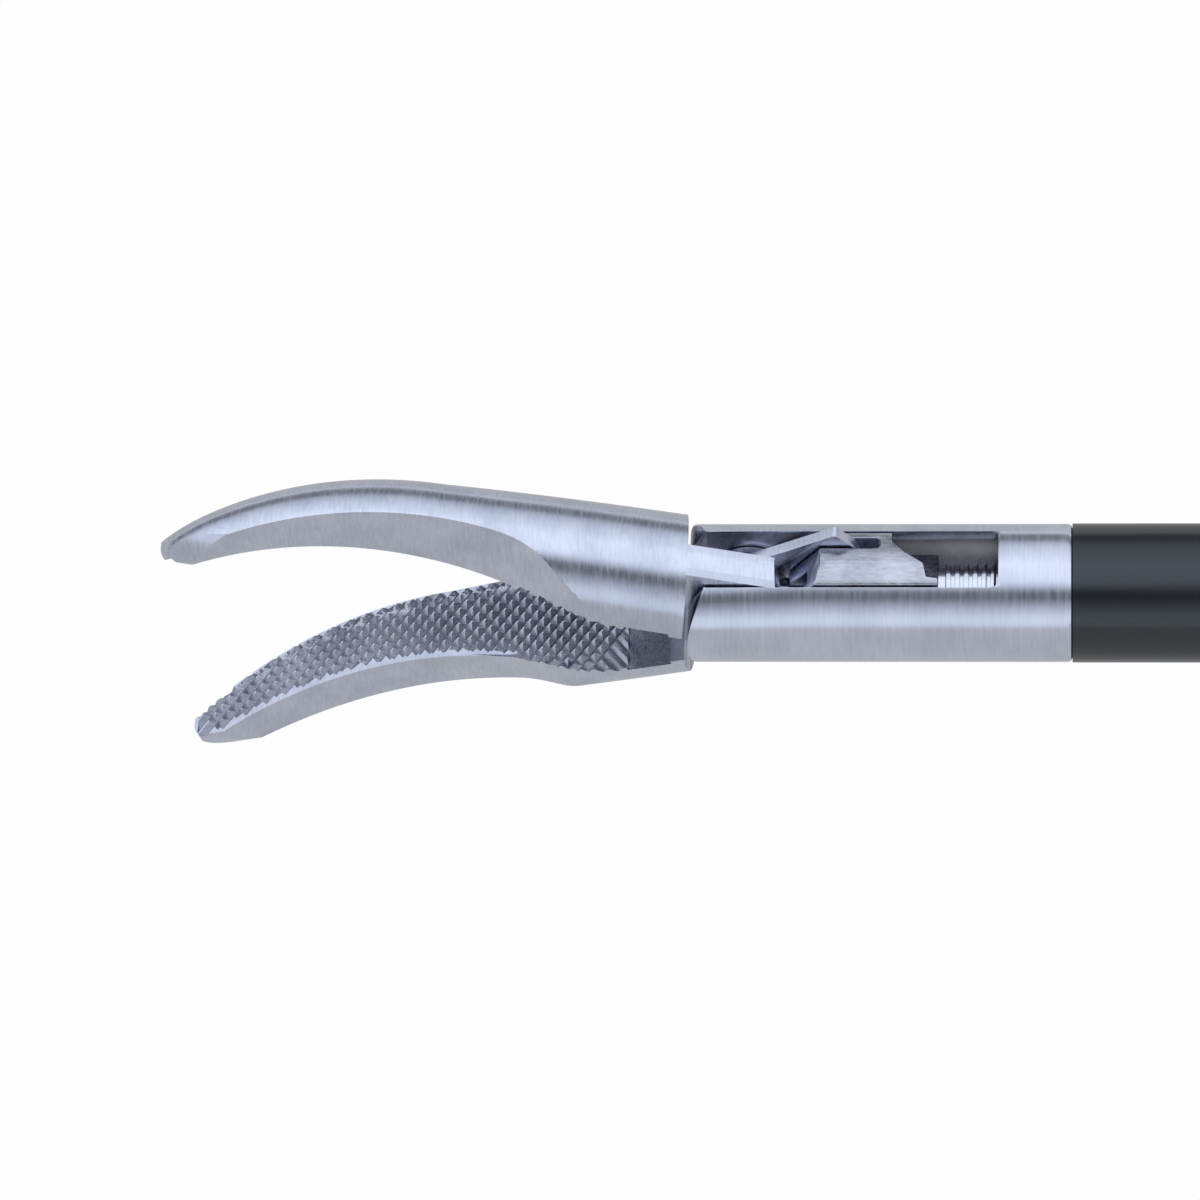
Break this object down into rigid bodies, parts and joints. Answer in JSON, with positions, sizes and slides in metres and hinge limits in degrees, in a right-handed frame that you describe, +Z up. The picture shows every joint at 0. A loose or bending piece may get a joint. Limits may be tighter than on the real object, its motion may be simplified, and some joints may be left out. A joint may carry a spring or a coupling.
{
  "type": "laparoscopic grasper",
  "caption": "Ring-handled laparoscopic grasper with curved, cross-hatched jaws on a long insulated rotating shaft.",
  "frame": {"origin": "on the shaft's axis, at the front face of the rotation knob, where the working length starts", "axes": "-X along the shaft to the jaw tips, +Z up with the ring handle hanging below, jaw tips curve to -Y"},
  "size_m": [0.4407, 0.022, 0.1205],
  "materials": {
    "jaw_steel": "satin ground stainless steel",
    "housing_steel": "satin turned stainless steel",
    "rod_steel": "drawn and turned stainless steel",
    "spring_steel": "hardened spring steel",
    "sleeve_black": "semi-gloss black insulation",
    "guide_polymer": "turned white polymer",
    "seal_rubber": "moulded silicone",
    "knob_black": "fine-textured moulding",
    "handle_black": "fine-textured moulding",
    "lever_black": "fine-textured moulding"
  },
  "bodies": {
    "handle": {"handle_shell_left": "handle_black", "handle_shell_right": "handle_black", "handle_screws": "rod_steel", "lever_pivot": "rod_steel", "pawl_pin": "rod_steel", "electrode_post": "rod_steel", "contact_spring": "spring_steel", "detent_ball": "rod_steel", "detent_spring": "spring_steel"},
    "shaft": {"jaw_housing": "housing_steel", "jaw_pivot_pin": "housing_steel", "shaft_tube": "rod_steel", "insulation_sleeve": "sleeve_black", "rod_guides": "guide_polymer", "tube_collar": "rod_steel", "rod_seal": "seal_rubber", "retaining_clip": "rod_steel", "rotation_knob": "knob_black", "knob_grub_screw": "rod_steel"},
    "pull_rod": {"rod_head": "housing_steel", "cam_pin": "housing_steel", "pull_rod": "rod_steel"},
    "upper_jaw": {"upper_jaw": "jaw_steel"},
    "lower_jaw": {"lower_jaw": "jaw_steel"},
    "thumb_lever": {"thumb_lever": "lever_black", "ratchet_rack": "spring_steel"},
    "ratchet_pawl": {"ratchet_pawl": "spring_steel"}
  },
  "joints": [
    {"name": "shaft_rotation", "type": "hinge", "parent": "handle", "child": "shaft", "pos_m": [0, 0, 0], "axis": [1, 0, 0], "continuous": true},
    {"name": "thumb_squeeze", "type": "hinge", "parent": "handle", "child": "thumb_lever", "pos_m": [0.05, 0, -0.005], "axis": [0, 1, 0], "range_deg": [0, 17.19]},
    {"name": "rod_slide", "type": "slide", "parent": "shaft", "child": "pull_rod", "axis": [1, 0, 0], "range_m": [0, 0.0015]},
    {"name": "upper_jaw_pivot", "type": "hinge", "parent": "shaft", "child": "upper_jaw", "pos_m": [-0.3085, 0, 0], "axis": [0, -1, 0], "range_deg": [0, 15.5]},
    {"name": "lower_jaw_pivot", "type": "hinge", "parent": "shaft", "child": "lower_jaw", "pos_m": [-0.3085, 0, 0], "axis": [0, 1, 0], "range_deg": [0, 15.5]},
    {"name": "pawl_pivot", "type": "hinge", "parent": "handle", "child": "ratchet_pawl", "pos_m": [0.0375, 0, -0.033], "axis": [0, -1, 0], "range_deg": [0, 6]}
  ],
  "couplings": [
    {"joint": "rod_slide", "follows": "thumb_squeeze", "m_per_rad": 0.005},
    {"joint": "upper_jaw_pivot", "follows": "thumb_squeeze", "ratio": 0.90175},
    {"joint": "lower_jaw_pivot", "follows": "thumb_squeeze", "ratio": 0.90175}
  ]
}
